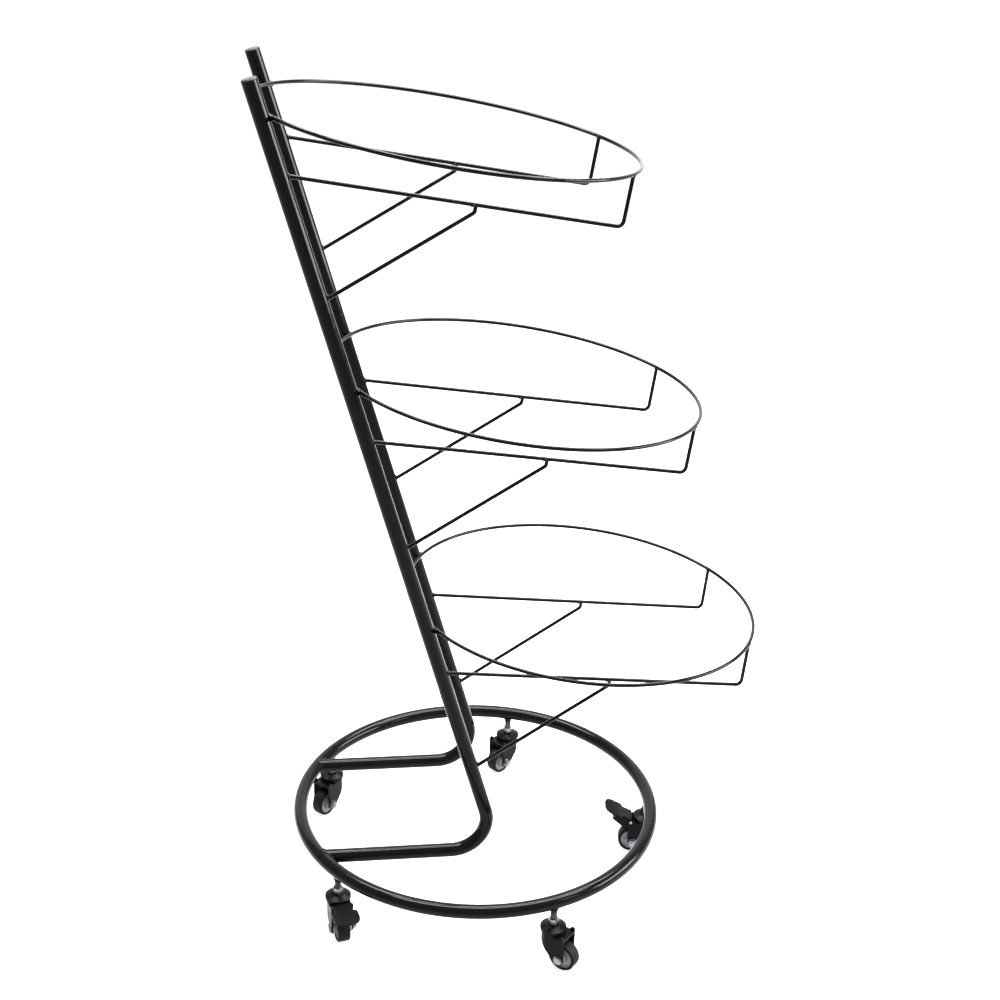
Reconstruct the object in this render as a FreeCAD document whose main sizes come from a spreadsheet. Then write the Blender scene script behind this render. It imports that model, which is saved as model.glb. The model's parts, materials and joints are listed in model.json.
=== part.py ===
import FreeCAD, Part
import math
import os
import Sketcher

# Tiered display stand: a ring base on five casters, two of them braked, two bent tube uprights that
# lean back, and three wire hoops, each carried on a pair of bent wire arms with a brace under each arm.
# Frame: +X is the front, +Z is up, and the origin is on the ring's axis at floor level.

# Driving dimensions: millimetres, and degrees where the name says lean, angle or trail.
DIMENSIONS = {
    "ring_radius": 250,
    "tube_radius": 9.5,
    "tube_wall": 1.5,
    "weld": 1,
    "upright_offset": 112,
    "upright_x": 17,
    "upright_lean": 16.2,
    "upright_rise": 1032,
    "upright_bend": 48,
    "plug_depth": 12,
    "plug_cap": 2.5,
    "plug_edge": 1.3,
    "wire_radius": 2.5,
    "hoop_radius": 237,
    "hoop_riser": 62.5,
    "arm_bend": 7.5,
    "brace_reach": 215,
    "brace_drop": 149,
    "brace_tip": 9,
    "brace_bend": 5,
    "top_drop": 72,
    "top_fall_angle": 8.9,
    "middle_height": 641,
    "middle_fall_angle": 7.4,
    "bottom_height": 323,
    "bottom_fall_angle": 5.15,
    "caster_count": 5,
    "caster_spread_angle": 72,
    "running_gap": 0.1,
    "free_gap": 0.3,
    "stem_radius": 4,
    "stem_show": 15.5,
    "boss_radius": 5.5,
    "boss_drop": 3.5,
    "boss_sink": 3.5,
    "collar_flats": 12,
    "collar_height": 9,
    "cup_radius": 17.5,
    "cup_rim": 4.5,
    "cup_neck": 10,
    "cup_height": 8,
    "king_radius": 3.5,
    "king_head_radius": 6,
    "king_head": 2.6,
    "wheel_radius": 20,
    "wheel_clear": 12.5,
    "tread_width": 17,
    "tread_edge": 2.5,
    "rim_radius": 15.8,
    "rim_width": 14,
    "hub_radius": 9,
    "axle_offset": 18,
    "axle_radius": 3,
    "bolt_flats": 10,
    "bolt_head": 3,
    "nut_height": 4.4,
    "bolt_end": 0.8,
    "race_radius": 15.5,
    "race_height": 1.7,
    "sheet": 2.2,
    "fork_width": 30,
    "fork_round": 13.5,
    "fork_skirt": 10.5,
    "fork_curve": 15,
    "crown_back": 17,
    "ear_radius": 3.2,
    "boss_end_radius": 7,
    "boss_end_round": 5.5,
    "pin_rise": 1.5,
    "pin_radius": 1.75,
    "pin_overhang": 1,
    "pedal_eye": 3,
    "pedal_rise": 1.8,
    "pedal_sheet": 2.4,
    "pedal_neck": 15,
    "pedal_reach": 43,
    "pedal_width": 35,
    "pedal_corner": 4,
    "pedal_round": 12,
    "shoe_drop": 13.4,
    "shoe_near": 3,
    "shoe_far": 4,
    "rib_reach": 25,
    "rib_drop": 8,
    "pedal_up_angle": 26,
}

# Heights above the floor, and places along a caster's trail, worked out from the wheel upwards.
CROWN_TOP = "(2 * dims.wheel_radius + dims.wheel_clear)"
CUP_FOOT = f"({CROWN_TOP} + dims.race_height + dims.free_gap)"
CUP_TOP = f"({CUP_FOOT} + dims.cup_height)"
COLLAR_TOP = f"({CUP_TOP} + dims.collar_height)"
RING_FOOT = f"({COLLAR_TOP} + dims.stem_show)"
RING_HEIGHT = f"({RING_FOOT} + dims.tube_radius)"
PIN_HEIGHT = f"({CROWN_TOP} + dims.pin_rise)"
FORK_BACK = "(dims.axle_offset + dims.boss_end_radius)"
PIN_OFFSET = f"({FORK_BACK} - dims.ear_radius)"

# Each tier, and the height of its hoop's centre above the ring: the top one follows the uprights' ends.
TIERS = {
    "top": "(dims.upright_rise - dims.top_drop)",
    "middle": "dims.middle_height",
    "bottom": "dims.bottom_height",
}

# The side of the stand, and the sign of its Y.
SIDES = (("left", 1), ("right", -1))

# Where each caster trails, as the turn of its fork about its stem, and its brake pedal: up, down or none.
CASTERS = (
    ("caster_1", 0, 172, "up"),
    ("caster_2", 1, 220, "none"),
    ("caster_3", 2, 230, "none"),
    ("caster_4", 3, 281, "down"),
    ("caster_5", 4, 319, "none"),
)

doc = FreeCAD.newDocument("tiered_display_stand")
dims = doc.addObject("Spreadsheet::Sheet", "dims")
for row, (alias, size) in enumerate(DIMENSIONS.items(), start=1):
    dims.set(f"A{row}", str(size))
    dims.setAlias(f"A{row}", alias)
doc.recompute()

nodes = []


def number(expression):
    """The value of an expression of the driving dimensions."""
    return float(dims.evalExpression(expression))


def keep(item, name):
    """Marks an object as a sub-part, under the name of its file."""
    item.Label = name
    nodes.append(item)
    return item


def new_body(name):
    return doc.addObject("PartDesign::Body", name)


def new_sketch(body, name, role, offset="0"):
    """A sketch on one of the body's own planes, moved along the plane's normal."""
    sketch = body.newObject("Sketcher::SketchObject", f"{body.Name}_{name}")
    plane = next(item for item in body.Origin.OriginFeatures if item.Role == role)
    sketch.AttachmentSupport = (plane, "")
    sketch.MapMode = "FlatFace"
    sketch.setExpression("AttachmentOffset.Base.z", offset)
    return sketch


def bind(sketch, name, expression, constraint):
    """Adds a named constraint whose value follows an expression."""
    index = sketch.addConstraint(constraint)
    sketch.renameConstraint(index, name)
    sketch.setExpression(f"Constraints.{name}", expression)


def pin(sketch, name, item, end, across, along):
    """Holds a point of the sketch at two coordinates, each an expression."""
    bind(sketch, f"{name}_x", across, Sketcher.Constraint("DistanceX", -1, 1, item, end, number(across)))
    bind(sketch, f"{name}_y", along, Sketcher.Constraint("DistanceY", -1, 1, item, end, number(along)))


def rounded_corner(before, corner, after, radius):
    """The two tangent points and the centre of an arc that rounds a corner, and if it turns left."""
    inward = (before - corner).normalize()
    outward = (after - corner).normalize()
    half = inward.getAngle(outward) / 2
    first = corner + inward * (radius / math.tan(half))
    last = corner + outward * (radius / math.tan(half))
    middle = corner + (inward + outward).normalize() * (radius / math.sin(half))
    return first, last, middle, (corner - before).cross(after - corner).z > 0


def arc_between(first, last, middle, radius, left):
    """An arc of a circle from one tangent point to the other, drawn anticlockwise."""
    start, end = (first, last) if left else (last, first)
    begin = math.atan2(start.y - middle.y, start.x - middle.x)
    finish = math.atan2(end.y - middle.y, end.x - middle.x)
    if finish < begin:
        finish += 2 * math.pi
    circle = Part.Circle(middle, FreeCAD.Vector(0, 0, 1), radius)
    return Part.ArcOfCircle(circle, begin, finish)


def outline(sketch, corners, closed=True):
    """Lines through the corners, each an (x, y) or an (x, y, radius) of expressions, held by constraints."""
    count = len(corners)
    points = [FreeCAD.Vector(number(corner[0]), number(corner[1]), 0) for corner in corners]
    rounds = {}
    for index, corner in enumerate(corners):
        if len(corner) == 3:
            before, after = points[index - 1], points[(index + 1) % count]
            rounds[index] = rounded_corner(before, points[index], after, number(corner[2]))
    lines = []
    for index in range(count if closed else count - 1):
        following = (index + 1) % count
        start = rounds[index][1] if index in rounds else points[index]
        end = rounds[following][0] if following in rounds else points[following]
        lines.append(sketch.addGeometry(Part.LineSegment(start, end), False))
    for index, corner in enumerate(corners):
        name = f"corner_{index}"
        into = lines[index - 1] if closed or index > 0 else None
        out = lines[index] if index < len(lines) else None
        if index in rounds:
            first, last, middle, left = rounds[index]
            curve = arc_between(first, last, middle, number(corner[2]), left)
            arc = sketch.addGeometry(curve, False)
            apex = sketch.addGeometry(Part.Point(points[index]), True)
            entry, leave = (1, 2) if left else (2, 1)
            sketch.addConstraint(Sketcher.Constraint("Tangent", into, 2, arc, entry))
            sketch.addConstraint(Sketcher.Constraint("Tangent", arc, leave, out, 1))
            sketch.addConstraint(Sketcher.Constraint("PointOnObject", apex, 1, into))
            sketch.addConstraint(Sketcher.Constraint("PointOnObject", apex, 1, out))
            bind(sketch, f"{name}_round", corner[2], Sketcher.Constraint("Radius", arc, number(corner[2])))
            pin(sketch, name, apex, 1, corner[0], corner[1])
        else:
            if into is not None and out is not None:
                sketch.addConstraint(Sketcher.Constraint("Coincident", into, 2, out, 1))
            item, end = (out, 1) if out is not None else (into, 2)
            pin(sketch, name, item, end, corner[0], corner[1])


def circle(sketch, name, across, along, radius):
    """A full circle in a sketch."""
    centre = FreeCAD.Vector(number(across), number(along), 0)
    item = sketch.addGeometry(Part.Circle(centre, FreeCAD.Vector(0, 0, 1), number(radius)), False)
    pin(sketch, name, item, 3, across, along)
    bind(sketch, f"{name}_radius", radius, Sketcher.Constraint("Radius", item, number(radius)))


def hexagon(sketch, across, flats):
    """A regular hexagon in a sketch, from its distance across flats, with its centre on the sketch's X."""
    reach = f"({flats}) / 2 / cos(30)"
    turns = range(0, 360, 60)
    outline(sketch, [(f"({across}) + {reach} * cos({turn})", f"{reach} * sin({turn})") for turn in turns])


def pad(body, sketch, length, symmetric=False):
    feature = body.newObject("PartDesign::Pad", f"{sketch.Name}_pad")
    feature.Profile = sketch
    if symmetric:
        feature.SideType = "Symmetric"
    feature.setExpression("Length", length)
    return feature


def pocket(body, sketch, length, symmetric=False):
    feature = body.newObject("PartDesign::Pocket", f"{sketch.Name}_pocket")
    feature.Profile = sketch
    if symmetric:
        feature.SideType = "Symmetric"
    feature.setExpression("Length", length)
    return feature


def revolve(body, sketch, axis):
    """A full turn about one of the sketch's own axes."""
    feature = body.newObject("PartDesign::Revolution", f"{sketch.Name}_turn")
    feature.Profile = sketch
    feature.ReferenceAxis = (sketch, [axis])
    feature.Angle = 360
    return feature


def around_ring(body, features):
    """Repeats features round the ring, once for each caster."""
    axis = next(item for item in body.Origin.OriginFeatures if item.Role == "Z_Axis")
    pattern = body.newObject("PartDesign::PolarPattern", f"{body.Name}_pattern")
    pattern.Originals = features
    pattern.Axis = (axis, [""])
    pattern.Angle = 360
    pattern.setExpression("Occurrences", "dims.caster_count")
    body.Tip = pattern
    return pattern


def place(item, across, along, up, yaw="0", pitch="0", roll="0"):
    """Puts an object at three coordinates, turned by yaw, pitch and roll, each an expression."""
    turn = f"rotation({yaw}; {pitch}; {roll})"
    item.setExpression("Placement", f"placement(vector({across}; {along}; {up}); {turn})")


def pipe(body, corners, name="rod", radius="dims.wire_radius", cut=False):
    """A round rod or bore along a bent line, whose first run is along the body's X or Z axis."""
    spine = new_sketch(body, f"{name}_line", "XZ_Plane")
    outline(spine, corners, closed=False)
    level = corners[0][1] == corners[1][1]
    role = "YZ_Plane" if level else "XY_Plane"
    section = new_sketch(body, f"{name}_section", role, corners[0][0] if level else corners[0][1])
    if level:
        circle(section, "rod", "0", corners[0][1], radius)
    else:
        circle(section, "rod", corners[0][0], "0", radius)
    kind = "PartDesign::SubtractivePipe" if cut else "PartDesign::AdditivePipe"
    feature = body.newObject(kind, f"{body.Name}_{name}_pipe")
    feature.Profile = section
    feature.Spine = spine
    return feature


# The base ring: one tube rolled to a full circle, closed on itself.
def make_ring():
    ring = keep(doc.addObject("Part::Torus", "base_ring"), "base_ring")
    ring.setExpression("Radius1", "dims.ring_radius")
    ring.setExpression("Radius2", "dims.tube_radius")
    place(ring, "0", "0", RING_HEIGHT)


# An upright: a level leg from the ring's rear, a bend, and a long run that leans back.
def make_upright(side, sign):
    body = keep(new_body(f"{side}_upright"), f"{side}_upright")
    corners = (
        ("-sqrt(dims.ring_radius ^ 2 - dims.upright_offset ^ 2)", "0"),
        ("dims.upright_x", "0", "dims.upright_bend"),
        ("dims.upright_x - dims.upright_rise * tan(dims.upright_lean)", "dims.upright_rise"),
    )
    pipe(body, corners, "tube", "dims.tube_radius")
    pipe(body, corners, "bore", "dims.tube_radius - dims.tube_wall", cut=True)
    place(body, "0", f"{sign} * dims.upright_offset", RING_HEIGHT)


# The plugs that close the uprights' upper ends: a push-in stem under a low cap.
def make_plugs():
    plugs = []
    for side, sign in SIDES:
        body = new_body(f"{side}_plug")
        sketch = new_sketch(body, "profile", "XZ_Plane")
        outline(sketch, (
            ("0", "-dims.plug_depth"),
            ("dims.tube_radius - dims.tube_wall", "-dims.plug_depth"),
            ("dims.tube_radius - dims.tube_wall", "0"),
            ("dims.tube_radius", "0"),
            ("dims.tube_radius", "dims.plug_cap - dims.plug_edge"),
            ("dims.tube_radius - dims.plug_edge", "dims.plug_cap"),
            ("0", "dims.plug_cap"),
        ))
        revolve(body, sketch, "V_Axis")
        across = "dims.upright_x - dims.upright_rise * tan(dims.upright_lean)"
        up = f"{RING_HEIGHT} + dims.upright_rise"
        place(body, across, f"{sign} * dims.upright_offset", up, pitch="-dims.upright_lean")
        plugs.append(body)
    group = keep(doc.addObject("Part::Compound", "upright_plugs"), "upright_plugs")
    group.Links = plugs


# A tier: its own frame has X along the hoop's fall to the front, Z square to the hoop, and its
# origin at the hoop's centre. The hoop touches the uprights' front faces where it crosses them.
CROSSING = "sqrt(dims.hoop_radius ^ 2 - dims.upright_offset ^ 2)"


def place_tier(item, tier, sign=0):
    """Puts an object in a tier's frame, moved sideways to one of the uprights."""
    pitch = f"dims.{tier}_fall_angle"
    rear = f"({TIERS[tier]} + {CROSSING} * sin({pitch}))"
    stand_off = "(dims.tube_radius + dims.wire_radius - dims.weld) / cos(dims.upright_lean)"
    across = f"dims.upright_x - {rear} * tan(dims.upright_lean) + {stand_off} + {CROSSING} * cos({pitch})"
    place(item, across, f"{sign} * dims.upright_offset", f"{RING_HEIGHT} + {TIERS[tier]}", pitch=pitch)


def make_hoop(tier):
    hoop = keep(doc.addObject("Part::Torus", f"{tier}_hoop"), f"{tier}_hoop")
    hoop.setExpression("Radius1", "dims.hoop_radius")
    hoop.setExpression("Radius2", "dims.wire_radius")
    place_tier(hoop, tier)


def make_arm(tier, side, sign):
    """An arm runs level with the hoop below it, then turns up square to meet it at the front."""
    body = keep(new_body(f"{tier}_{side}_arm"), f"{tier}_{side}_arm")
    pipe(body, (
        (f"{arm_start(tier)} - dims.weld", "-dims.hoop_riser"),
        (CROSSING, "-dims.hoop_riser", "dims.arm_bend"),
        (CROSSING, "0"),
    ))
    place_tier(body, tier, sign)


def arm_start(tier):
    """Where the arm's line meets the upright's front face, along the tier's X."""
    angle = f"(dims.upright_lean + dims.{tier}_fall_angle)"
    inset = "dims.wire_radius + dims.weld"
    return f"(-{CROSSING} + (dims.hoop_riser * sin{angle} - {inset}) / cos{angle})"


def make_brace(tier, side, sign):
    """A brace drops square from under the arm, bends, and runs down and back to the upright."""
    body = keep(new_body(f"{tier}_{side}_brace"), f"{tier}_{side}_brace")
    angle = f"(dims.upright_lean + dims.{tier}_fall_angle)"
    head = f"{arm_start(tier)} + dims.brace_reach"
    foot_x = f"{arm_start(tier)} + dims.brace_drop * sin{angle} - dims.weld * cos{angle}"
    foot_z = f"-dims.hoop_riser - dims.brace_drop * cos{angle} - dims.weld * sin{angle}"
    pipe(body, (
        (head, "-dims.hoop_riser"),
        (head, "-dims.hoop_riser - dims.brace_tip", "dims.brace_bend"),
        (foot_x, foot_z),
    ))
    place_tier(body, tier, sign)


# What the ring carries for its casters: welded bosses, threaded stems and the upper cups.
def make_ring_hardware(name, corners, hexagonal=False):
    """Turned pieces round each stem's axis, repeated round the ring."""
    body = keep(new_body(name), name)
    sketch = new_sketch(body, "profile", "XZ_Plane")
    outline(sketch, [(f"dims.ring_radius + {corner[0]}", *corner[1:]) for corner in corners])
    top = FreeCAD.Vector(number("dims.ring_radius"), number(RING_HEIGHT), 0)
    foot = FreeCAD.Vector(number("dims.ring_radius"), 0, 0)
    axis = sketch.addGeometry(Part.LineSegment(foot, top), True)
    pin(sketch, "axis_foot", axis, 1, "dims.ring_radius", "0")
    pin(sketch, "axis_top", axis, 2, "dims.ring_radius", RING_HEIGHT)
    features = [revolve(body, sketch, "Axis0")]
    if hexagonal:
        collar = new_sketch(body, "collar", "XY_Plane", CUP_TOP)
        hexagon(collar, "dims.ring_radius", "dims.collar_flats")
        features.append(pad(body, collar, "dims.collar_height"))
    around_ring(body, features)
    place(body, "0", "0", "0")


def make_bosses():
    make_ring_hardware("stem_bosses", (
        ("dims.stem_radius", f"{RING_FOOT} - dims.boss_drop"),
        ("dims.boss_radius", f"{RING_FOOT} - dims.boss_drop"),
        ("dims.boss_radius", f"{RING_FOOT} + dims.boss_sink"),
        ("dims.stem_radius", f"{RING_FOOT} + dims.boss_sink"),
    ))


def make_stems():
    """Each stem: a king pin riveted under the fork's crown, a hexagon collar and a plain upper end."""
    crown_foot = f"{CROWN_TOP} - dims.sheet - 2 * dims.free_gap"
    make_ring_hardware("caster_stems", (
        ("0", f"{crown_foot} - dims.king_head"),
        ("dims.king_head_radius", f"{crown_foot} - dims.king_head"),
        ("dims.king_head_radius", crown_foot),
        ("dims.king_radius", crown_foot),
        ("dims.king_radius", CUP_FOOT),
        ("dims.stem_radius", CUP_FOOT),
        ("dims.stem_radius", f"{RING_FOOT} - dims.free_gap"),
        ("0", f"{RING_FOOT} - dims.free_gap"),
    ), hexagonal=True)


def make_cups():
    make_ring_hardware("caster_cups", (
        ("dims.stem_radius", CUP_FOOT),
        ("dims.cup_radius", CUP_FOOT),
        ("dims.cup_radius", f"{CUP_FOOT} + dims.cup_rim"),
        ("dims.cup_neck", CUP_TOP),
        ("dims.stem_radius", CUP_TOP),
    ))


def place_in_caster(item, caster, across="0", up="0", aside="0", pitch="0", roll="0"):
    """Puts an object in a caster's frame: X along the trail, Z up, the stem's axis at the origin."""
    name, step, trail, pedal = caster
    spot = f"{step} * dims.caster_spread_angle"
    east = f"dims.ring_radius * cos({spot}) + ({across}) * cos({trail}) - ({aside}) * sin({trail})"
    north = f"dims.ring_radius * sin({spot}) + ({across}) * sin({trail}) + ({aside}) * cos({trail})"
    place(item, east, north, up, yaw=str(trail), pitch=pitch, roll=roll)


# The fork: a folded shell whose round crown carries the ball race. A skirt joins its two cheeks in
# front, and behind the crown they stand up as ears. Where there is a brake, its pin crosses the ears
# and the crown stops short of it.
def make_fork(caster):
    body = keep(new_body(f"{caster[0]}_fork"), f"{caster[0]}_fork")
    ear_top = f"{PIN_HEIGHT} + dims.ear_radius"
    ear_front = f"{FORK_BACK} - 2 * dims.ear_radius"
    boss_foot = "dims.wheel_radius - dims.boss_end_radius"
    side = new_sketch(body, "side", "XZ_Plane")
    outline(side, (
        ("-dims.fork_width / 2", CROWN_TOP),
        (ear_front, CROWN_TOP),
        (ear_front, ear_top, "dims.ear_radius - dims.free_gap"),
        (FORK_BACK, ear_top, "dims.ear_radius - dims.free_gap"),
        (FORK_BACK, boss_foot, "dims.boss_end_round"),
        ("dims.axle_offset - dims.boss_end_radius", boss_foot, "dims.boss_end_round"),
        ("-dims.fork_width / 2", f"{CROWN_TOP} - dims.fork_skirt", "dims.fork_curve"),
    ))
    pad(body, side, "dims.fork_width", symmetric=True)
    front = new_sketch(body, "front", "XY_Plane", ear_top)
    outline(front, (
        ("0", "dims.fork_width / 2"),
        ("0", "dims.fork_width"),
        ("-dims.fork_width", "dims.fork_width"),
        ("-dims.fork_width", "-dims.fork_width"),
        ("0", "-dims.fork_width"),
        ("0", "-dims.fork_width / 2"),
        ("-dims.fork_width / 2", "-dims.fork_width / 2", "dims.fork_round"),
        ("-dims.fork_width / 2", "dims.fork_width / 2", "dims.fork_round"),
    ))
    pocket(body, front, ear_top)
    inner = "(dims.fork_width / 2 - dims.sheet)"
    hollow = new_sketch(body, "hollow", "XY_Plane", f"{CROWN_TOP} - dims.sheet")
    outline(hollow, (
        ("2 * dims.fork_width", f"-{inner}"),
        ("2 * dims.fork_width", inner),
        (f"-{inner}", inner, "dims.fork_round - dims.sheet"),
        (f"-{inner}", f"-{inner}", "dims.fork_round - dims.sheet"),
    ))
    pocket(body, hollow, CROWN_TOP)
    gap = new_sketch(body, "gap", "XY_Plane", ear_top)
    gap_front = ear_front if caster[3] == "none" else "dims.crown_back"
    gap_depth = f"{ear_top} - {CROWN_TOP}"
    if caster[3] != "none":
        gap_depth = f"{gap_depth} + 2 * dims.sheet"
    outline(gap, (
        (gap_front, f"-{inner}"),
        ("2 * dims.fork_width", f"-{inner}"),
        ("2 * dims.fork_width", inner),
        (gap_front, inner),
    ))
    pocket(body, gap, gap_depth)
    race = new_sketch(body, "race", "XY_Plane", CROWN_TOP)
    circle(race, "race", "0", "0", "dims.race_radius")
    pad(body, race, "dims.race_height")
    bore = new_sketch(body, "bore", "XY_Plane", CUP_FOOT)
    circle(bore, "bore", "0", "0", "dims.king_radius + dims.running_gap")
    pocket(body, bore, "dims.wheel_clear")
    holes = new_sketch(body, "holes", "XZ_Plane")
    circle(holes, "axle", "dims.axle_offset", "dims.wheel_radius", "dims.axle_radius")
    if caster[3] != "none":
        circle(holes, "pin", PIN_OFFSET, PIN_HEIGHT, "dims.pin_radius")
    pocket(body, holes, "2 * dims.fork_width", symmetric=True)
    place_in_caster(body, caster)


# The axle: a hexagon-headed bolt across the fork with its nut, as two solids along their own Z.
def make_axle(caster):
    name = f"{caster[0]}_axle"
    shank = doc.addObject("Part::Cylinder", f"{name}_shank")
    shank.setExpression("Radius", "dims.axle_radius")
    shank.setExpression("Height", "dims.fork_width + dims.bolt_head + dims.nut_height + dims.bolt_end")
    place(shank, "0", "0", "-dims.fork_width / 2 - dims.bolt_head")
    head = doc.addObject("Part::Prism", f"{name}_head")
    head.Polygon = 6
    head.setExpression("Circumradius", "dims.bolt_flats / 2 / cos(30)")
    head.setExpression("Height", "dims.bolt_head")
    place(head, "0", "0", "-dims.fork_width / 2 - dims.bolt_head")
    bolt = doc.addObject("Part::Fuse", f"{name}_bolt")
    bolt.Base = head
    bolt.Tool = shank
    blank = doc.addObject("Part::Prism", f"{name}_blank")
    blank.Polygon = 6
    blank.setExpression("Circumradius", "dims.bolt_flats / 2 / cos(30)")
    blank.setExpression("Height", "dims.nut_height")
    place(blank, "0", "0", "dims.fork_width / 2")
    thread = doc.addObject("Part::Cylinder", f"{name}_thread")
    thread.setExpression("Radius", "dims.axle_radius")
    thread.setExpression("Height", "dims.fork_width")
    nut = doc.addObject("Part::Cut", f"{name}_nut")
    nut.Base = blank
    nut.Tool = thread
    group = keep(doc.addObject("Part::Compound", name), name)
    group.Links = [bolt, nut]
    place_in_caster(group, caster, "dims.axle_offset", "dims.wheel_radius", roll="-90")


def make_brake_pin(caster):
    """A plain pin across the fork's ears."""
    pin_rod = keep(doc.addObject("Part::Cylinder", f"{caster[0]}_brake_pin"), f"{caster[0]}_brake_pin")
    pin_rod.setExpression("Radius", "dims.pin_radius")
    pin_rod.setExpression("Height", "dims.fork_width + 2 * dims.pin_overhang")
    half = "dims.fork_width / 2 + dims.pin_overhang"
    place_in_caster(pin_rod, caster, PIN_OFFSET, PIN_HEIGHT, aside=half, roll="90")


# The wheel: a core with a long hub, and the tyre round its rim. Their own Y is the axle's line.
def make_wheel(caster):
    core = keep(new_body(f"{caster[0]}_core"), f"{caster[0]}_core")
    profile = new_sketch(core, "profile", "YZ_Plane")
    hub_half = "(dims.fork_width / 2 - dims.sheet - dims.free_gap)"
    outline(profile, (
        (f"-{hub_half}", "dims.axle_radius + dims.running_gap"),
        (hub_half, "dims.axle_radius + dims.running_gap"),
        (hub_half, "dims.hub_radius"),
        ("dims.rim_width / 2", "dims.hub_radius"),
        ("dims.rim_width / 2", "dims.rim_radius"),
        ("-dims.rim_width / 2", "dims.rim_radius"),
        ("-dims.rim_width / 2", "dims.hub_radius"),
        (f"-{hub_half}", "dims.hub_radius"),
    ))
    revolve(core, profile, "H_Axis")
    place_in_caster(core, caster, "dims.axle_offset", "dims.wheel_radius")
    tyre = keep(new_body(f"{caster[0]}_tyre"), f"{caster[0]}_tyre")
    profile = new_sketch(tyre, "profile", "YZ_Plane")
    outline(profile, (
        ("-dims.tread_width / 2", "dims.rim_radius"),
        ("dims.tread_width / 2", "dims.rim_radius"),
        ("dims.tread_width / 2", "dims.wheel_radius - dims.tread_edge"),
        ("dims.tread_width / 2 - dims.tread_edge", "dims.wheel_radius"),
        ("-dims.tread_width / 2 + dims.tread_edge", "dims.wheel_radius"),
        ("-dims.tread_width / 2", "dims.wheel_radius - dims.tread_edge"),
    ))
    revolve(tyre, profile, "H_Axis")
    place_in_caster(tyre, caster, "dims.axle_offset", "dims.wheel_radius")


# The pedal: an eye on the brake pin, a shoe that hangs over the tread, a deep rib behind it, and a
# neck that carries a broad plate with a rounded end. Its own origin is on the pin.
def make_pedal(caster):
    body = keep(new_body(f"{caster[0]}_pedal"), f"{caster[0]}_pedal")
    width = "(dims.fork_width - 2 * dims.sheet - 4 * dims.free_gap)"
    eye = new_sketch(body, "eye", "XZ_Plane")
    circle(eye, "eye", "0", "0", "dims.pedal_eye")
    pad(body, eye, width, symmetric=True)
    web = new_sketch(body, "web", "XZ_Plane")
    outline(web, (
        ("-dims.pedal_eye", "0"),
        ("-dims.shoe_near", "-dims.shoe_drop"),
        ("dims.shoe_far", "-dims.shoe_drop"),
        ("dims.rib_reach", "-dims.rib_drop"),
        ("dims.rib_reach", "dims.pedal_rise + dims.pedal_sheet"),
        ("0", "dims.pedal_rise + dims.pedal_sheet"),
    ))
    pad(body, web, width, symmetric=True)
    plate = new_sketch(body, "plate", "XY_Plane", "dims.pedal_rise")
    outline(plate, (
        ("dims.pedal_eye", f"-{width} / 2"),
        ("dims.pedal_neck", f"-{width} / 2"),
        ("dims.pedal_neck", "-dims.pedal_width / 2", "dims.pedal_corner"),
        ("dims.pedal_reach", "-dims.pedal_width / 2", "dims.pedal_round"),
        ("dims.pedal_reach", "dims.pedal_width / 2", "dims.pedal_round"),
        ("dims.pedal_neck", "dims.pedal_width / 2", "dims.pedal_corner"),
        ("dims.pedal_neck", f"{width} / 2"),
        ("dims.pedal_eye", f"{width} / 2"),
    ))
    pad(body, plate, "dims.pedal_sheet")
    bore = new_sketch(body, "bore", "XZ_Plane")
    circle(bore, "bore", "0", "0", "dims.pin_radius + dims.running_gap")
    pocket(body, bore, "dims.fork_width", symmetric=True)
    pitch = "-dims.pedal_up_angle" if caster[3] == "up" else "0"
    place_in_caster(body, caster, PIN_OFFSET, PIN_HEIGHT, pitch=pitch)


make_ring()
for side, sign in SIDES:
    make_upright(side, sign)
make_plugs()
for tier in TIERS:
    make_hoop(tier)
    for side, sign in SIDES:
        make_arm(tier, side, sign)
        make_brace(tier, side, sign)
make_bosses()
make_stems()
make_cups()
for caster in CASTERS:
    make_fork(caster)
    make_axle(caster)
    make_wheel(caster)
    if caster[3] != "none":
        make_brake_pin(caster)
        make_pedal(caster)
doc.recompute()

for item in doc.Objects:
    if "Invalid" in item.State or "Error" in item.State:
        raise RuntimeError(f"{item.Label} did not build")
for item in nodes:
    if item.Shape.isNull() or not item.Shape.isValid():
        raise RuntimeError(f"{item.Label} has no valid shape")

os.makedirs("parts", exist_ok=True)
for item in nodes:
    item.Shape.exportStep(f"parts/{item.Label}.step")
    print(item.Label, len(item.Shape.Solids), round(item.Shape.Volume, 1))
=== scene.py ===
import json
import math
import random

import bmesh
import bpy
from mathutils import Matrix, Vector


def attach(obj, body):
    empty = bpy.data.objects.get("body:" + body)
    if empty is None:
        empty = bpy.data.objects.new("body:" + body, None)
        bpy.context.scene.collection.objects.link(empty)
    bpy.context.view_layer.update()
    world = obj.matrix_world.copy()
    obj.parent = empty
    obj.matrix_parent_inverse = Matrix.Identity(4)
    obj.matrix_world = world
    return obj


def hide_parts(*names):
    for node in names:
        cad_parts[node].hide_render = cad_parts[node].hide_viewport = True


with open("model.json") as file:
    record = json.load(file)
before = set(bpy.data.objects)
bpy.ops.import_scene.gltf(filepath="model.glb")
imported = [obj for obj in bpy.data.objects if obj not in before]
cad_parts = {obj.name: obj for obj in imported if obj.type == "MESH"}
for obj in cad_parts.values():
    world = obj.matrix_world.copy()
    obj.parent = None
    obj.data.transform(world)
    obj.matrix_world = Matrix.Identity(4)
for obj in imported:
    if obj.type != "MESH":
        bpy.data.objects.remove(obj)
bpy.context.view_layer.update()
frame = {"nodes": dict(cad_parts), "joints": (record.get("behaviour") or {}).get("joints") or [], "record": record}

nodes = frame["nodes"]
joints = {joint["name"]: joint for joint in frame["joints"]}
mounts = {mount["name"]: mount for mount in frame["record"]["mounts"]}

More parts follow.
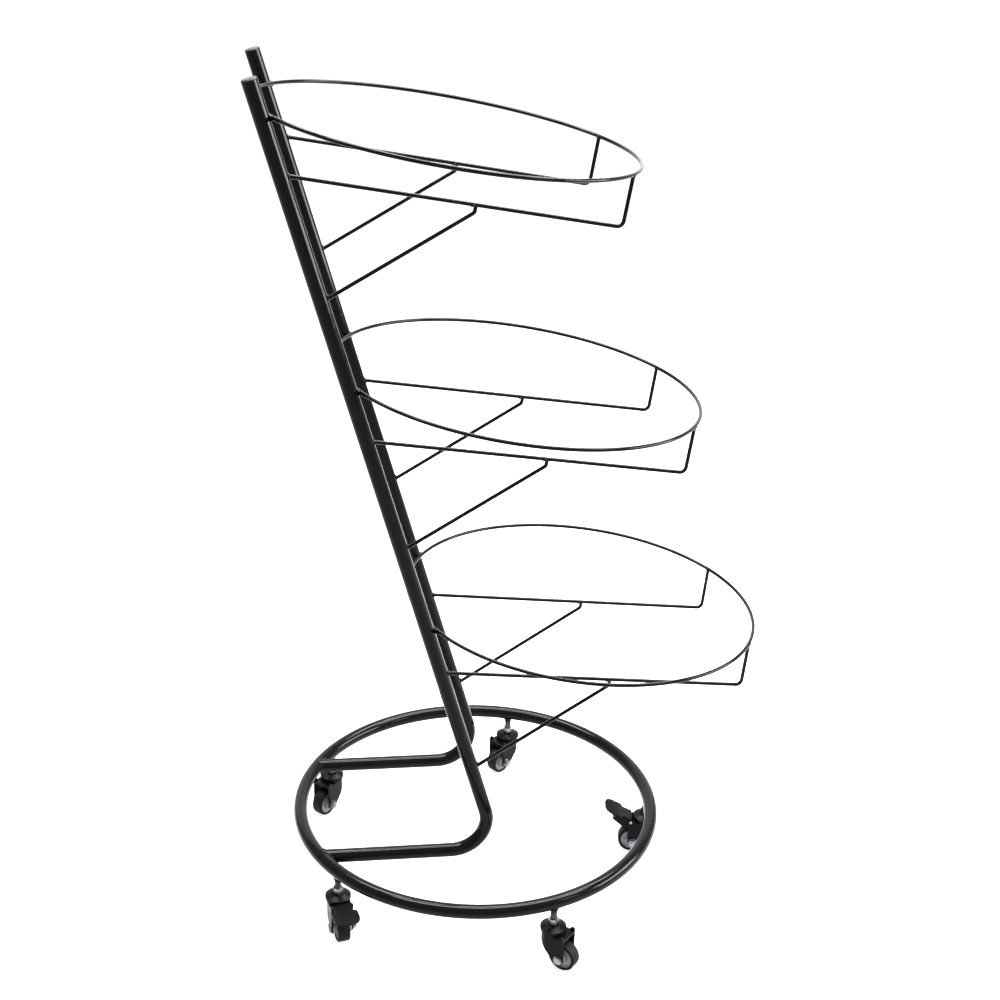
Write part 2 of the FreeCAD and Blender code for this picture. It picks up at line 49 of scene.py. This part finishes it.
# Sizes of the stand, in metres and radians.
MM = 0.001
RING_RADIUS = 250 * MM
RING_HEIGHT = 96.5 * MM
TUBE_RADIUS = 9.5 * MM
WIRE_RADIUS = 2.5 * MM
UPRIGHT_OFFSET = 112 * MM
UPRIGHT_X = 17 * MM
UPRIGHT_LEAN = math.radians(16.2)
HOOP_RADIUS = 237 * MM
HOOP_RISER = 62.5 * MM
BRACE_REACH = 215 * MM
BRACE_TIP = 9 * MM
BRACE_DROP = 149 * MM
WELD_DEPTH = 1 * MM
STEM_RADIUS = 4 * MM
STEM_LOW = 71.5 * MM
STEM_HIGH = 83.5 * MM
BOSS_RADIUS = 5.5 * MM
CROWN_TOP = 52.5 * MM
RACE_RADIUS = 15.5 * MM
RACE_HEIGHT = 1.7 * MM
WHEEL_RADIUS = 20 * MM
TREAD_WIDTH = 17 * MM
TREAD_EDGE = 2.5 * MM
RIM_RADIUS = 15.8 * MM
RIM_WIDTH = 14 * MM
HUB_RADIUS = 9 * MM
HUB_WIDTH = 25 * MM
AXLE_RADIUS = 3 * MM
AXLE_BORE = 3.1 * MM
FORK_WIDTH = 30 * MM
PIN_OVERHANG = 1 * MM

# Welds: the beads' radii, how far a bead stands off its wire, its lumps as a share of its radius and
# their step in radians, and the least share of the radius at an open end.
WIRE_BEAD = 1.1 * MM
TIP_BEAD = 1.0 * MM
HOOP_BEAD = 1.5 * MM
LEG_BEAD = 1.7 * MM
BOSS_BEAD = 1.2 * MM
BEAD_GAP = 0.2 * MM
BEAD_LUMPS = 0.12
LUMP_STEP = 2.1
BEAD_END = 0.25
BEAD_SIDES = 8

# The stems' thread, and the flanges under the axle bolts' heads and nuts.
THREAD_PITCH = 1.25 * MM
THREAD_SINK = 0.25 * MM
THREAD_END = 0.8 * MM
FLANGE_RADIUS = 6.3 * MM
FLANGE_HEIGHT = 0.7 * MM
FLANGE_BEVEL = 0.2 * MM

# Angles above which an edge stays sharp, and the modifiers' angles on the CAD nodes.
SHARP_ANGLE = 35
CORE_SHARP_ANGLE = 25
SEAM_SHARP_ANGLE = 60
FLAT_ANGLE = 1
EDGE_ANGLE = 40

TIERS = ("top", "middle", "bottom")
SIDES = (("left", 1), ("right", -1))
CASTERS = [f"caster_{number}" for number in range(1, 6)]
BRAKED = [caster for caster in CASTERS if f"{caster}_pedal" in nodes]

# Sockets of a colour mix, whose names repeat.
MIX_FACTOR, MIX_A, MIX_B, MIX_RESULT = 0, 6, 7, 2


# Materials

def shade(code):
    """A colour written as sRGB hex, in Blender's linear values."""
    channels = [int(code[place:place + 2], 16) / 255 for place in (1, 3, 5)]
    linear = [c / 12.92 if c <= 0.04045 else ((c + 0.055) / 1.055) ** 2.4 for c in channels]
    return (*linear, 1.0)


def add_node(tree, kind, inputs=None, **settings):
    """A shader node with its settings, and its inputs as values or as sockets to join."""
    node = tree.nodes.new(kind)
    for name, value in settings.items():
        setattr(node, name, value)
    for name, value in (inputs or {}).items():
        if isinstance(value, bpy.types.NodeSocket):
            tree.links.new(value, node.inputs[name])
        else:
            node.inputs[name].default_value = value
    return node


def noise(tree, place, size, detail=2.0):
    """A noise pattern whose features are about size across, in metres."""
    inputs = {"Vector": place, "Scale": 1 / size, "Detail": detail, "Roughness": 0.55}
    return add_node(tree, "ShaderNodeTexNoise", inputs).outputs["Fac"]


def spread(tree, value, low, high, start=0.35, end=0.65):
    """Turns a pattern's middle values into the range from low to high."""
    inputs = {"Value": value, "From Min": start, "From Max": end, "To Min": low, "To Max": high}
    return add_node(tree, "ShaderNodeMapRange", inputs).outputs["Result"]


def finish(name, colours, patch, rough, grain, depth, **uniform):
    """A material: two close colours in patches, a roughness that varies, and a fine grain as bump."""
    material = bpy.data.materials.new(name)
    material.use_nodes = True
    tree = material.node_tree
    shader = tree.nodes["Principled BSDF"]
    place = add_node(tree, "ShaderNodeTexCoord").outputs["Object"]
    cloud = noise(tree, place, patch, 3.0)
    mix = add_node(tree, "ShaderNodeMix", data_type="RGBA")
    tree.links.new(spread(tree, cloud, 0.0, 1.0), mix.inputs[MIX_FACTOR])
    mix.inputs[MIX_A].default_value = shade(colours[0])
    mix.inputs[MIX_B].default_value = shade(colours[1])
    tree.links.new(mix.outputs[MIX_RESULT], shader.inputs["Base Color"])
    tree.links.new(spread(tree, noise(tree, place, patch / 3), *rough), shader.inputs["Roughness"])
    bump = add_node(tree, "ShaderNodeBump", {"Height": noise(tree, place, grain), "Strength": 0.6,
                                             "Distance": depth})
    tree.links.new(bump.outputs["Normal"], shader.inputs["Normal"])
    for socket, value in uniform.items():
        shader.inputs[socket.replace("_", " ")].default_value = value
    return material


MATERIALS = {
    "frame_coat": finish("Powder-coated steel, gloss black", ("#040405", "#060607"), 30 * MM,
                         (0.08, 0.15), 1.5 * MM, 0.02 * MM, Specular_IOR_Level=0.07),
    "plug_plastic": finish("Moulded polyethylene, black", ("#0a0a0b", "#111112"), 6 * MM,
                           (0.42, 0.55), 0.8 * MM, 0.006 * MM, Specular_IOR_Level=0.12),
    "caster_coat": finish("Electrocoated steel, black", ("#030304", "#060607"), 7 * MM,
                          (0.3, 0.42), 1.2 * MM, 0.006 * MM, Specular_IOR_Level=0.05),
    "zinc_plate": finish("Zinc-plated steel", ("#808387", "#5f6368"), 4 * MM,
                         (0.18, 0.34), 0.5 * MM, 0.02 * MM, Metallic=1.0),
    # Painted shade: the thread on the zinc-plated stems is made near black to stand for the shade under the ring.
    "thread_painted_shade": finish("Rolled steel thread, painted shade", ("#080809", "#0e0e10"), 3 * MM,
                           (0.4, 0.5), 0.4 * MM, 0.01 * MM, Specular_IOR_Level=0.15),
    "core_plastic": finish("Moulded nylon, light grey", ("#66676a", "#56575a"), 5 * MM,
                           (0.3, 0.42), 0.6 * MM, 0.02 * MM),
    "tyre_rubber": finish("Rubber, black", ("#050506", "#0a0a0b"), 8 * MM,
                          (0.5, 0.68), 0.5 * MM, 0.05 * MM, Specular_IOR_Level=0.08),
    "weld_metal": finish("Powder-coated weld bead, gloss black", ("#040405", "#08080a"), 4 * MM,
                         (0.2, 0.34), 1.2 * MM, 0.12 * MM, Specular_IOR_Level=0.08),
}


def dress(item, slot):
    """Gives an object the one material of the named slot."""
    item.data.materials.clear()
    item.data.materials.append(MATERIALS[slot])


# New pieces

def make_piece(name, mesh, slot, body, angle=SHARP_ANGLE):
    """Turns a bmesh into an object that rides on a body, smooth apart from its real edges."""
    bmesh.ops.remove_doubles(mesh, verts=mesh.verts, dist=1e-6)
    bmesh.ops.recalc_face_normals(mesh, faces=mesh.faces)
    data = bpy.data.meshes.new(name)
    mesh.to_mesh(data)
    mesh.free()
    data.polygons.foreach_set("use_smooth", [True] * len(data.polygons))
    data.set_sharp_from_angle(angle=math.radians(angle))
    item = bpy.data.objects.new(name, data)
    bpy.context.collection.objects.link(item)
    dress(item, slot)
    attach(item, body)
    return item


def add_tube(mesh, path, radii, closed=False, sides=BEAD_SIDES):
    """A round skin along a path, with a radius for each of its points."""
    count = len(path)
    rings = []
    side = None
    for index, point in enumerate(path):
        before = path[index - 1] if closed or index else point
        after = path[(index + 1) % count] if closed or index < count - 1 else point
        along = (after - before).normalized()
        if side is None:
            side = along.orthogonal().normalized()
        side = (side - along * side.dot(along)).normalized()
        other = along.cross(side)
        ring = []
        for step in range(sides):
            turn = 2 * math.pi * step / sides
            out = side * math.cos(turn) + other * math.sin(turn)
            ring.append(mesh.verts.new(point + out * radii[index]))
        rings.append(ring)
    for index in range(count if closed else count - 1):
        here, there = rings[index], rings[(index + 1) % count]
        shift = 0
        if closed and index == count - 1:
            shift = min(range(sides), key=lambda s: (here[0].co - there[s].co).length)
        for step in range(sides):
            mesh.faces.new((here[step], here[(step + 1) % sides],
                            there[(step + 1 + shift) % sides], there[(step + shift) % sides]))
    if not closed:
        mesh.faces.new(rings[0])
        mesh.faces.new(rings[-1])


def add_turned(mesh, profile, origin, axis, segments):
    """A closed profile of (radius, distance along the axis) turned once about a line."""
    side = axis.orthogonal().normalized()
    other = axis.cross(side)
    rings = []
    for step in range(segments):
        turn = 2 * math.pi * step / segments
        out = side * math.cos(turn) + other * math.sin(turn)
        rings.append([mesh.verts.new(origin + out * radius + axis * along) for radius, along in profile])
    for step in range(segments):
        here, there = rings[step], rings[(step + 1) % segments]
        for index in range(len(profile)):
            following = (index + 1) % len(profile)
            mesh.faces.new((here[index], here[following], there[following], there[index]))


def mirrored(profile):
    """The other half of a profile that is the same on both sides of its middle."""
    return [(radius, -along) for radius, along in reversed(profile)]


# Welds

def ripple(count, radius, seed, ends):
    """Radii of a hand-laid bead: a steady size with small lumps, drawn in at open ends."""
    chance = random.Random(seed)
    radii = []
    for index in range(count):
        wave = math.sin(index * LUMP_STEP + seed)
        size = radius * (1 + BEAD_LUMPS * wave + BEAD_LUMPS * chance.uniform(-0.5, 0.5))
        if ends:
            size *= max(BEAD_END, math.sin(math.pi * (index + 0.5) / count) ** 0.5)
        radii.append(size)
    return radii


def add_bead(mesh, path, radius, seed, closed=True):
    """A hand-laid bead along a line."""
    add_tube(mesh, path, ripple(len(path), radius, seed, not closed), closed)


def rod_on_tube(centre, along, radius, foot, line, tube_radius, steps=20):
    """The closed line where a rod meets the side of a tube, on the side that the rod comes from."""
    side = along.orthogonal().normalized()
    other = along.cross(side)
    flat = along - line * along.dot(line)
    points = []
    for step in range(steps):
        turn = 2 * math.pi * step / steps
        start = centre + (side * math.cos(turn) + other * math.sin(turn)) * radius
        away = start - foot
        away -= line * away.dot(line)
        a, b, c = flat.dot(flat), 2 * flat.dot(away), away.dot(away) - tube_radius ** 2
        reach = (-b + math.sqrt(max(b * b - 4 * a * c, 0))) / (2 * a)
        points.append(start + along * reach)
    return points


def weld_tier(tier, side, sign, seed):
    """The beads of one side of a tier, as one piece."""
    seat = mounts[f"{tier}_hoop_seat"]
    up = Vector(seat["axis"]).normalized()
    front = Vector((up.z, 0, -up.x))
    across = Vector((0, sign, 0))
    middle = Vector(seat["pos_m"]) + across * UPRIGHT_OFFSET
    reach = math.sqrt(HOOP_RADIUS ** 2 - UPRIGHT_OFFSET ** 2)
    line = Vector((-math.sin(UPRIGHT_LEAN), 0, math.cos(UPRIGHT_LEAN)))
    out = Vector((line.z, 0, -line.x))
    foot = Vector((UPRIGHT_X, sign * UPRIGHT_OFFSET, RING_HEIGHT))
    lean = UPRIGHT_LEAN + math.atan2(up.x, up.z)
    start = -reach + (HOOP_RISER * math.sin(lean) - WIRE_RADIUS - WELD_DEPTH) / math.cos(lean)
    arm = middle + front * start - up * HOOP_RISER
    bead_radius = WIRE_RADIUS + BEAD_GAP
    mesh = bmesh.new()
    # The arm's end on the upright.
    path = rod_on_tube(arm, front, bead_radius, foot, line, TUBE_RADIUS)
    add_bead(mesh, path, WIRE_BEAD, seed)
    # The brace's two ends.
    brace_top = arm + front * BRACE_REACH
    brace_foot = arm - line * BRACE_DROP
    slope = (brace_top - up * BRACE_TIP - brace_foot).normalized()
    path = rod_on_tube(brace_foot, slope, bead_radius, foot, line, TUBE_RADIUS)
    add_bead(mesh, path, WIRE_BEAD, seed + 1)
    path = rod_on_tube(brace_top, -up, WIRE_RADIUS, brace_top, front, WIRE_RADIUS)
    add_bead(mesh, path, TIP_BEAD, seed + 2)
    # The riser's upper end under the hoop.
    riser_top = middle + front * reach
    tangent = front * (-UPRIGHT_OFFSET / HOOP_RADIUS) + across * (reach / HOOP_RADIUS)
    path = rod_on_tube(riser_top, -up, WIRE_RADIUS, riser_top, tangent, WIRE_RADIUS)
    add_bead(mesh, path, TIP_BEAD, seed + 3)
    # The hoop where it crosses the upright's front face, above and below the wire.
    crossing = middle - front * reach
    tangent = front * (UPRIGHT_OFFSET / HOOP_RADIUS) + across * (reach / HOOP_RADIUS)
    length, off_wire, sink, follow, steps = 11 * MM, 2.3 * MM, 1.6 * MM, 0.7, 9
    for edge in (1, -1):
        path = []
        for step in range(steps):
            slide = (step / (steps - 1) - 0.5) * length
            drop = TUBE_RADIUS - math.sqrt(TUBE_RADIUS ** 2 - (slide * tangent.y) ** 2)
            path.append(crossing + tangent * slide + line * edge * off_wire - out * (sink + drop * follow))
        add_bead(mesh, path, HOOP_BEAD, seed + 4 + edge, closed=False)
    make_piece(f"{tier}_{side}_welds", mesh, "weld_metal", "frame", SEAM_SHARP_ANGLE)


def weld_base():
    """The beads round each leg's end on the ring, and round each boss under it."""
    mesh = bmesh.new()
    for side, sign in SIDES:
        path = []
        steps = 40
        for step in range(steps):
            turn = 2 * math.pi * step / steps
            y = sign * UPRIGHT_OFFSET + TUBE_RADIUS * math.cos(turn)
            inner = RING_RADIUS - TUBE_RADIUS * abs(math.cos(turn))
            z = RING_HEIGHT + TUBE_RADIUS * math.sin(turn)
            path.append(Vector((-math.sqrt(inner ** 2 - y ** 2), y, z)))
        add_bead(mesh, path, LEG_BEAD, 40 + sign)
    for number, caster in enumerate(CASTERS):
        spot = Vector(joints[f"{caster}_turn"]["pos_m"])
        path = []
        steps = 24
        radius = BOSS_RADIUS + BEAD_GAP
        for step in range(steps):
            turn = 2 * math.pi * step / steps
            point = Vector((spot.x + radius * math.cos(turn), spot.y + radius * math.sin(turn), 0))
            off = Vector((point.x, point.y)).length - RING_RADIUS
            point.z = RING_HEIGHT - math.sqrt(TUBE_RADIUS ** 2 - off ** 2)
            path.append(point)
        add_bead(mesh, path, BOSS_BEAD, 50 + number)
    make_piece("base_welds", mesh, "weld_metal", "frame", SEAM_SHARP_ANGLE)


# Casters

def axle_frame(caster):
    """The wheel's centre and the axle's direction."""
    joint = joints[f"{caster}_roll"]
    return Vector(joint["pos_m"]), Vector(joint["axis"]).normalized()


def shoulder(corner_radius, corner_along, radius, steps=5):
    """Points of a quarter turn from the side of a turned profile to its rim."""
    points = []
    for step in range(steps, -1, -1):
        turn = math.radians(90 * step / steps)
        points.append((corner_radius + radius * math.cos(turn), corner_along + radius * math.sin(turn)))
    return points


def make_tyre(caster):
    """A moulded tyre: rounded shoulders, a flat tread with a parting line and a stepped sidewall."""
    centre, axis = axle_frame(caster)
    half = TREAD_WIDTH / 2
    bevel, lip, lip_edge, step = 0.6 * MM, 1.4 * MM, 1.6 * MM, 0.3 * MM
    line_rise, line_foot, line_top = 0.05 * MM, 0.5 * MM, 0.15 * MM
    right = [
        (RIM_RADIUS, half - bevel),
        (RIM_RADIUS + bevel, half),
        (RIM_RADIUS + lip, half),
        (RIM_RADIUS + lip_edge, half - step),
        *shoulder(WHEEL_RADIUS - TREAD_EDGE, half - TREAD_EDGE, TREAD_EDGE),
        (WHEEL_RADIUS - line_rise, line_foot),
    ]
    ridge = [(WHEEL_RADIUS, line_top), (WHEEL_RADIUS, -line_top)]
    mesh = bmesh.new()
    add_turned(mesh, right + ridge + mirrored(right), centre, axis, segments=72)
    piece = make_piece(f"{caster}_moulded_tyre", mesh, "tyre_rubber", f"{caster}_wheel")
    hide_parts(f"{caster}_tyre")


def make_core(caster):
    """A moulded core: a rim, a sunk web and a long hub with a bevelled, stepped face."""
    centre, axis = axle_frame(caster)
    half = HUB_WIDTH / 2
    rim_half = RIM_WIDTH / 2
    web = rim_half - 1.2 * MM
    bevel, bush, step = 0.3 * MM, 1.6 * MM, 0.7 * MM
    face, face_edge, hub_bevel = 2.2 * MM, 1.8 * MM, 0.5 * MM
    fillet, rim_foot, rim_edge, rim_gap = 0.6 * MM, 2 * MM, 1.4 * MM, 0.1 * MM
    right = [
        (AXLE_BORE, half - bevel),
        (AXLE_BORE + bevel, half),
        (AXLE_BORE + bush, half),
        (AXLE_BORE + bush + bevel, half - step),
        (HUB_RADIUS - face, half - step),
        (HUB_RADIUS - face_edge, half),
        (HUB_RADIUS - hub_bevel, half),
        (HUB_RADIUS, half - hub_bevel),
        (HUB_RADIUS, web + fillet),
        (HUB_RADIUS + fillet, web),
        (RIM_RADIUS - rim_foot, web),
        (RIM_RADIUS - rim_edge, rim_half),
        (RIM_RADIUS - rim_gap, rim_half),
    ]
    mesh = bmesh.new()
    add_turned(mesh, right + mirrored(right), centre, axis, segments=64)
    piece = make_piece(f"{caster}_moulded_core", mesh, "core_plastic", f"{caster}_wheel", CORE_SHARP_ANGLE)
    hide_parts(f"{caster}_core")


def make_flanges(caster):
    """Flanges under the bolt's head and nut, and domed ends on a brake pin."""
    centre, axis = axle_frame(caster)
    face = FORK_WIDTH / 2
    flange = [
        (AXLE_RADIUS, 0),
        (FLANGE_RADIUS, 0),
        (FLANGE_RADIUS, FLANGE_HEIGHT - FLANGE_BEVEL),
        (FLANGE_RADIUS - FLANGE_BEVEL, FLANGE_HEIGHT),
        (AXLE_RADIUS, FLANGE_HEIGHT),
    ]
    mesh = bmesh.new()
    for sign in (1, -1):
        add_turned(mesh, flange, centre + axis * sign * face, axis * sign, segments=32)
    if caster in BRAKED:
        pin = Vector(joints[f"{caster}_pedal_lift"]["pos_m"])
        top = PIN_OVERHANG + 0.5 * MM
        crest, cap, edge, eye = 0.9 * MM, 1.9 * MM, 2.5 * MM, 0.05 * MM
        dome = [(eye, top), (crest, top - 0.1 * MM), (cap, top - 0.6 * MM), (edge, 0), (eye, 0)]
        for sign in (1, -1):
            add_turned(mesh, dome, pin + axis * sign * face, axis * sign, segments=24)
    make_piece(f"{caster}_flanges", mesh, "zinc_plate", f"{caster}_swivel")


def make_race_lip(caster):
    """The rolled lip round the fork's lower race."""
    spot = Vector(joints[f"{caster}_turn"]["pos_m"])
    low, high = CROWN_TOP, CROWN_TOP + RACE_HEIGHT
    inside, foot, bulge, crest = 0.8 * MM, 0.3 * MM, 0.5 * MM, 0.2 * MM
    lip = [
        (RACE_RADIUS - inside, low),
        (RACE_RADIUS + foot, low),
        (RACE_RADIUS + bulge, low + bulge),
        (RACE_RADIUS + crest, high - crest),
        (RACE_RADIUS - inside, high),
    ]
    mesh = bmesh.new()
    add_turned(mesh, lip, Vector((spot.x, spot.y, 0)), Vector((0, 0, 1)), segments=48)
    make_piece(f"{caster}_race_lip", mesh, "caster_coat", f"{caster}_swivel")


def make_threads():
    """The stems' rolled thread, between the collars and the bosses, near black as painted shade under the ring."""
    mesh = bmesh.new()
    steps = 24
    low, high = STEM_LOW + THREAD_END, STEM_HIGH - THREAD_END
    count = int((high - low) / THREAD_PITCH * steps)
    for caster in CASTERS:
        spot = Vector(joints[f"{caster}_turn"]["pos_m"])
        path = []
        for step in range(count + 1):
            turn = 2 * math.pi * step / steps
            side = Vector((math.cos(turn), math.sin(turn), 0)) * (STEM_RADIUS - THREAD_SINK)
            path.append(Vector((spot.x, spot.y, low + (high - low) * step / count)) + side)
        add_tube(mesh, path, [THREAD_PITCH / 2] * len(path), sides=6)
    make_piece("stem_threads", mesh, "thread_painted_shade", "frame", SEAM_SHARP_ANGLE)


def soften(name, width):
    """Rounds the real edges of a CAD node with modifiers, on faces joined back to their flats."""
    item = nodes[name]
    flat = item.modifiers.new("flats", "DECIMATE")
    flat.decimate_type = "DISSOLVE"
    flat.angle_limit = math.radians(FLAT_ANGLE)
    bevel = item.modifiers.new("edges", "BEVEL")
    bevel.width = width
    bevel.segments = 3
    bevel.limit_method = "ANGLE"
    bevel.angle_limit = math.radians(EDGE_ANGLE)
    bevel.harden_normals = True


# Floor, light and camera

def make_floor():
    """A white table lit a little from below, so that shadows on it stay faint."""
    mesh = bmesh.new()
    bmesh.ops.create_grid(mesh, x_segments=1, y_segments=1, size=40)
    data = bpy.data.meshes.new("floor")
    mesh.to_mesh(data)
    mesh.free()
    floor = bpy.data.objects.new("floor", data)
    bpy.context.collection.objects.link(floor)
    floor.data.materials.append(
        finish("Light table, white acrylic", ("#949494", "#969696"), 0.6, (0.7, 0.8), 4 * MM, 0.02 * MM,
               Emission_Color=(1, 1, 1, 1), Emission_Strength=0.76, Specular_IOR_Level=0.2))


def make_light(name, place, target, size, radiance):
    """A soft box of an even brightness, turned towards a point."""
    data = bpy.data.lights.new(name, "AREA")
    data.shape = "RECTANGLE"
    data.size, data.size_y = size
    data.energy = radiance * math.pi * size[0] * size[1]
    light = bpy.data.objects.new(name, data)
    light.location = place
    aim = Vector(target) - Vector(place)
    light.rotation_euler = aim.to_track_quat("-Z", "Y").to_euler()
    bpy.context.collection.objects.link(light)


def make_camera():
    """The photograph's view: the lens, the place and the three directions of the camera."""
    data = bpy.data.cameras.new("camera")
    data.sensor_width = 36
    data.lens = 58.36
    camera = bpy.data.objects.new("camera", data)
    right = Vector((0.99207, -0.12302, 0.02559))
    up = Vector((0.02611, 0.40103, 0.91569))
    forward = Vector((0.12291, 0.90777, -0.40106))
    turn = Matrix((right, up, -forward)).transposed().to_4x4()
    camera.matrix_world = Matrix.Translation((-0.2404, -1.9436, 1.4271)) @ turn
    bpy.context.collection.objects.link(camera)
    bpy.context.scene.camera = camera


def make_world():
    """A plain white studio, with the photograph's white kept white in the picture."""
    world = bpy.data.worlds.new("studio")
    bpy.context.scene.world = world
    world.use_nodes = True
    background = world.node_tree.nodes["Background"]
    background.inputs["Color"].default_value = shade("#ffffff")
    background.inputs["Strength"].default_value = 1.0
    bpy.context.scene.view_settings.view_transform = "Standard"


# The stand

for entry in frame["record"]["subparts"]:
    dress(nodes[entry["node"]], entry["material_slot"])
for caster in CASTERS:
    soften(f"{caster}_fork", 0.6 * MM)
    soften(f"{caster}_axle", 0.3 * MM)
    make_tyre(caster)
    make_core(caster)
    make_flanges(caster)
    make_race_lip(caster)
for caster in BRAKED:
    soften(f"{caster}_pedal", 0.8 * MM)
soften("caster_cups", 1.2 * MM)
soften("caster_stems", 0.5 * MM)
soften("upright_plugs", 0.5 * MM)
make_threads()
for number, tier in enumerate(TIERS):
    for side, sign in SIDES:
        weld_tier(tier, side, sign, 10 * number + sign)
weld_base()

# The studio

make_floor()
make_camera()
make_world()
make_light("key", (2.3, -1.8, 2.0), (0, 0, 0.6), (0.5, 1.2), 10)
make_light("side", (3.0, -0.4, 1.3), (0, -0.1, 1.0), (1.8, 0.9), 45)
make_light("overhead_front", (0.3, 0.0, 2.9), (0.3, 0, 0), (3.2, 0.5), 70)
make_light("overhead_back", (0.3, 1.2, 2.9), (0.3, 0.2, 0), (3.2, 0.5), 70)
make_light("backdrop", (0, 4.5, 2.4), (0, 0, 0.3), (8, 3), 2)
